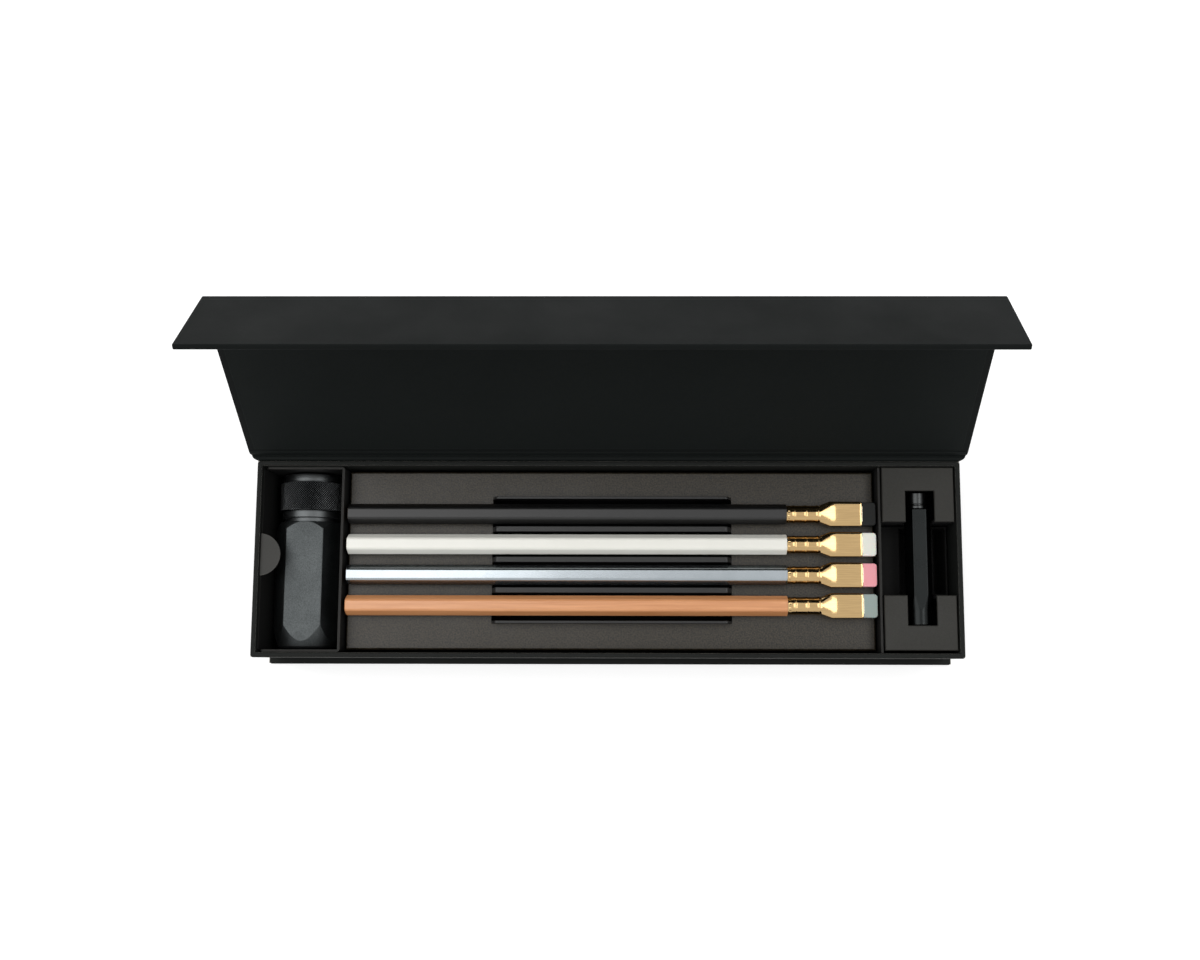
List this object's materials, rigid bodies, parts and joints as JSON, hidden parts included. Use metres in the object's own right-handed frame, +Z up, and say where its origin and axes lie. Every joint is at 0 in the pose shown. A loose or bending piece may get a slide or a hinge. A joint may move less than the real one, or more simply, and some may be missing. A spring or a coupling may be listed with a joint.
{
  "type": "pencil gift set",
  "caption": "Paper-covered hinged box with a magnetic front flap, holding hexagonal pencils with flat brass ferrules, a hexagonal sharpener and a point guard in a card insert.",
  "frame": {"origin": "on the underside of the base, below the middle of the tray", "axes": "+X along the pencils from their writing ends to their erasers, +Y towards the hinged back of the box, +Z up"},
  "size_m": [0.274, 0.1245, 0.1281],
  "materials": {
    "black_paper": "satin",
    "tray_paper": "satin",
    "grey_board": "matte",
    "insert_card": "matte",
    "nickel_disc": "satin",
    "steel_disc": "satin",
    "black_lacquer": "satin",
    "pearl_lacquer": "gloss",
    "grey_lacquer": "gloss",
    "clear_cedar": "satin",
    "graphite": "satin",
    "brass_ferrule": "polished",
    "brass_clip": "polished",
    "black_rubber": "matte",
    "white_rubber": "matte",
    "pink_rubber": "matte",
    "green_rubber": "matte",
    "black_anodised": "satin",
    "turned_brass": "satin",
    "blade_steel": "polished",
    "spring_brass": "satin"
  },
  "bodies": {
    "case": {"base_board": "grey_board", "base_cover_paper": "black_paper", "spine_board": "grey_board", "spine_cover_paper": "black_paper", "tray_floor": "grey_board", "tray_front_wall": "grey_board", "tray_back_wall": "grey_board", "tray_left_wall": "grey_board", "tray_right_wall": "grey_board", "catch_plates": "steel_disc", "tray_cover_paper": "tray_paper", "tray_floor_lining": "tray_paper", "pencil_platform": "insert_card", "sharpener_bay_card": "insert_card", "bay_side_card": "insert_card", "right_divider": "insert_card", "guard_block_back": "insert_card", "guard_block_front": "insert_card", "guard_step_card": "insert_card"},
    "lid": {"lid_board": "grey_board", "lid_cover_paper": "black_paper", "lid_lining_paper": "black_paper"},
    "flap": {"flap_board": "grey_board", "flap_cover_paper": "black_paper", "flap_lining_paper": "black_paper", "flap_magnets": "nickel_disc"},
    "tab": {"lift_tab": "insert_card"},
    "black_pencil": {"black_barrel": "black_lacquer", "black_lead": "graphite", "black_ferrule": "brass_ferrule", "black_clip": "brass_clip", "black_eraser": "black_rubber"},
    "pearl_pencil": {"pearl_barrel": "pearl_lacquer", "pearl_lead": "graphite", "pearl_ferrule": "brass_ferrule", "pearl_clip": "brass_clip", "pearl_eraser": "white_rubber"},
    "grey_pencil": {"grey_barrel": "grey_lacquer", "grey_lead": "graphite", "grey_ferrule": "brass_ferrule", "grey_clip": "brass_clip", "grey_eraser": "pink_rubber"},
    "natural_pencil": {"natural_barrel": "clear_cedar", "natural_lead": "graphite", "natural_ferrule": "brass_ferrule", "natural_clip": "brass_clip", "natural_eraser": "green_rubber"},
    "sharpener": {"sharpener_shell": "black_anodised"},
    "sharpener_head": {"sharpener_collar": "black_anodised", "sharpener_cutter": "turned_brass", "sharpener_blade": "blade_steel", "sharpener_screw": "turned_brass"},
    "guard": {"guard_shell": "black_anodised", "guard_button": "black_anodised", "guard_sleeve": "spring_brass"}
  },
  "joints": [
    {"name": "lid_hinge", "type": "hinge", "parent": "case", "child": "lid", "pos_m": [0, 0.0384, 0.0379], "axis": [-1, 0, 0], "range_deg": [-124.8, 70.9]},
    {"name": "flap_hinge", "type": "hinge", "parent": "lid", "child": "flap", "pos_m": [0, 0.08479, 0.10114], "axis": [-1, 0, 0], "range_deg": [-14, 76]},
    {"name": "black_pencil_lift", "type": "slide", "parent": "case", "child": "black_pencil", "axis": [0, 0, 1], "range_m": [0, 0.06]},
    {"name": "pearl_pencil_lift", "type": "slide", "parent": "case", "child": "pearl_pencil", "axis": [0, 0, 1], "range_m": [0, 0.06]},
    {"name": "grey_pencil_lift", "type": "slide", "parent": "case", "child": "grey_pencil", "axis": [0, 0, 1], "range_m": [0, 0.06]},
    {"name": "natural_pencil_lift", "type": "slide", "parent": "case", "child": "natural_pencil", "axis": [0, 0, 1], "range_m": [0, 0.06]},
    {"name": "sharpener_lift", "type": "slide", "parent": "case", "child": "sharpener", "axis": [0, 0, 1], "range_m": [0, 0.06], "deforming": ["lift_tab"]},
    {"name": "sharpener_head_turn", "type": "hinge", "parent": "sharpener", "child": "sharpener_head", "pos_m": [-0.1175, 0.0151, 0.01655], "axis": [0, 1, 0], "range_deg": [0, 360]},
    {"name": "guard_lift", "type": "slide", "parent": "case", "child": "guard", "axis": [0, 0, 1], "range_m": [0, 0.06]},
    {"name": "tab_fold", "type": "hinge", "parent": "case", "child": "tab", "pos_m": [-0.13235, 0.0015, 0.036], "axis": [0, -1, 0], "range_deg": [0, 80]}
  ]
}
